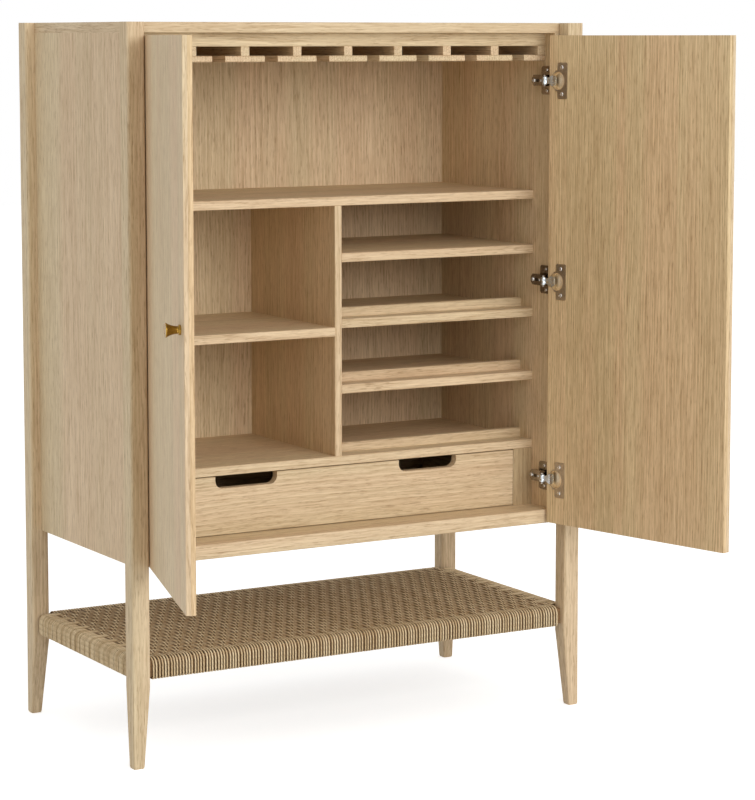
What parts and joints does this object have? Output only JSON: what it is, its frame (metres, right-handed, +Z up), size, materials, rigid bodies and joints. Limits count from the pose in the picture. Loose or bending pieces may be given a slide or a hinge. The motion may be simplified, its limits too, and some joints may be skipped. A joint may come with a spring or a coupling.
{
  "type": "wine cabinet",
  "caption": "Oak wine cabinet on tapered posts with open hinged doors, stemware rack, bottle shelves, drawer and woven cord shelf between the legs",
  "frame": {"origin": "on the floor, midway between the four feet", "axes": "+Z up; the front with the doors faces -Y; +X is to the right of someone facing the front"},
  "size_m": [1.0709, 0.8381, 1.25],
  "materials": {
    "oak_board": "satin oiled oak veneer",
    "oak_solid": "satin oiled solid oak",
    "paper_cord": "matte twisted cord",
    "hinge_steel": "bright nickel-plated steel",
    "knob_brass": "satin brass"
  },
  "bodies": {
    "cabinet": {"top_board": "oak_board", "bottom_board": "oak_board", "side_panel_left": "oak_board", "side_panel_right": "oak_board", "back_panel": "oak_board", "upper_shelf": "oak_board", "lower_shelf": "oak_board", "left_shelf": "oak_board", "divider": "oak_board", "wine_shelf_lower": "oak_board", "wine_shelf_upper": "oak_board", "narrow_shelf": "oak_board", "drawer_filler_left": "oak_board", "drawer_filler_right": "oak_board", "post_front_left": "oak_solid", "post_front_right": "oak_solid", "post_back_left": "oak_solid", "post_back_right": "oak_solid", "bottle_rest_lower": "oak_solid", "bottle_rest_middle": "oak_solid", "bottle_rest_upper": "oak_solid", "rack_rail_front": "oak_solid", "rack_rail_back": "oak_solid", "rack_spacers": "oak_solid", "rack_slats": "oak_solid", "drawer_runner_left": "oak_solid", "drawer_runner_right": "oak_solid", "shelf_rail_front": "oak_solid", "shelf_rail_back": "oak_solid", "shelf_rail_left": "oak_solid", "shelf_rail_right": "oak_solid", "woven_shelf": "paper_cord", "hinge_plates_left": "hinge_steel", "hinge_arms_left": "hinge_steel", "hinge_plates_right": "hinge_steel", "hinge_arms_right": "hinge_steel"},
    "door_left": {"door_left": "oak_board", "knob_left": "knob_brass", "hinge_cups_left": "hinge_steel"},
    "door_right": {"door_right": "oak_board", "knob_right": "knob_brass", "hinge_cups_right": "hinge_steel"},
    "links_left": {"hinge_links_left": "hinge_steel"},
    "links_right": {"hinge_links_right": "hinge_steel"},
    "drawer": {"drawer_front": "oak_board", "drawer_back": "oak_board", "drawer_bottom": "oak_board", "drawer_side_left": "oak_board", "drawer_side_right": "oak_board"},
    "hinge_screw_left_lower": {"hinge_screw_left_lower": "hinge_steel"},
    "hinge_screw_left_middle": {"hinge_screw_left_middle": "hinge_steel"},
    "hinge_screw_left_upper": {"hinge_screw_left_upper": "hinge_steel"},
    "hinge_screw_right_lower": {"hinge_screw_right_lower": "hinge_steel"},
    "hinge_screw_right_middle": {"hinge_screw_right_middle": "hinge_steel"},
    "hinge_screw_right_upper": {"hinge_screw_right_upper": "hinge_steel"}
  },
  "joints": [
    {"name": "door_left", "type": "hinge", "parent": "cabinet", "child": "door_left", "pos_m": [-0.406, -0.2125, 0.785], "axis": [0, 0, -1], "range_deg": [-107, 3]},
    {"name": "door_right", "type": "hinge", "parent": "cabinet", "child": "door_right", "pos_m": [0.406, -0.2125, 0.785], "axis": [0, 0, 1], "range_deg": [-103.4, 6.6]},
    {"name": "drawer_slide", "type": "slide", "parent": "cabinet", "child": "drawer", "axis": [0, -1, 0], "range_m": [0, 0.25]},
    {"name": "hinge_links_left", "type": "hinge", "parent": "cabinet", "child": "links_left", "pos_m": [-0.3876, -0.1998, 0.785], "axis": [0, 0, -1], "range_deg": [-0.79, 24.6]},
    {"name": "hinge_links_right", "type": "hinge", "parent": "cabinet", "child": "links_right", "pos_m": [0.3876, -0.1998, 0.785], "axis": [0, 0, 1], "range_deg": [-1.61, 23.78]},
    {"name": "hinge_screw_left_lower", "type": "hinge", "parent": "cabinet", "child": "hinge_screw_left_lower", "pos_m": [-0.394, -0.155, 0.423], "axis": [1, 0, 0], "range_deg": [-180, 180]},
    {"name": "hinge_screw_left_middle", "type": "hinge", "parent": "cabinet", "child": "hinge_screw_left_middle", "pos_m": [-0.394, -0.155, 0.785], "axis": [1, 0, 0], "range_deg": [-180, 180]},
    {"name": "hinge_screw_left_upper", "type": "hinge", "parent": "cabinet", "child": "hinge_screw_left_upper", "pos_m": [-0.394, -0.155, 1.147], "axis": [1, 0, 0], "range_deg": [-180, 180]},
    {"name": "hinge_screw_right_lower", "type": "hinge", "parent": "cabinet", "child": "hinge_screw_right_lower", "pos_m": [0.394, -0.155, 0.423], "axis": [-1, 0, 0], "range_deg": [-180, 180]},
    {"name": "hinge_screw_right_middle", "type": "hinge", "parent": "cabinet", "child": "hinge_screw_right_middle", "pos_m": [0.394, -0.155, 0.785], "axis": [-1, 0, 0], "range_deg": [-180, 180]},
    {"name": "hinge_screw_right_upper", "type": "hinge", "parent": "cabinet", "child": "hinge_screw_right_upper", "pos_m": [0.394, -0.155, 1.147], "axis": [-1, 0, 0], "range_deg": [-180, 180]}
  ],
  "couplings": [
    {"joint": "hinge_links_left", "follows": "door_left", "ratio": -0.229},
    {"joint": "hinge_links_right", "follows": "door_right", "ratio": -0.229}
  ]
}
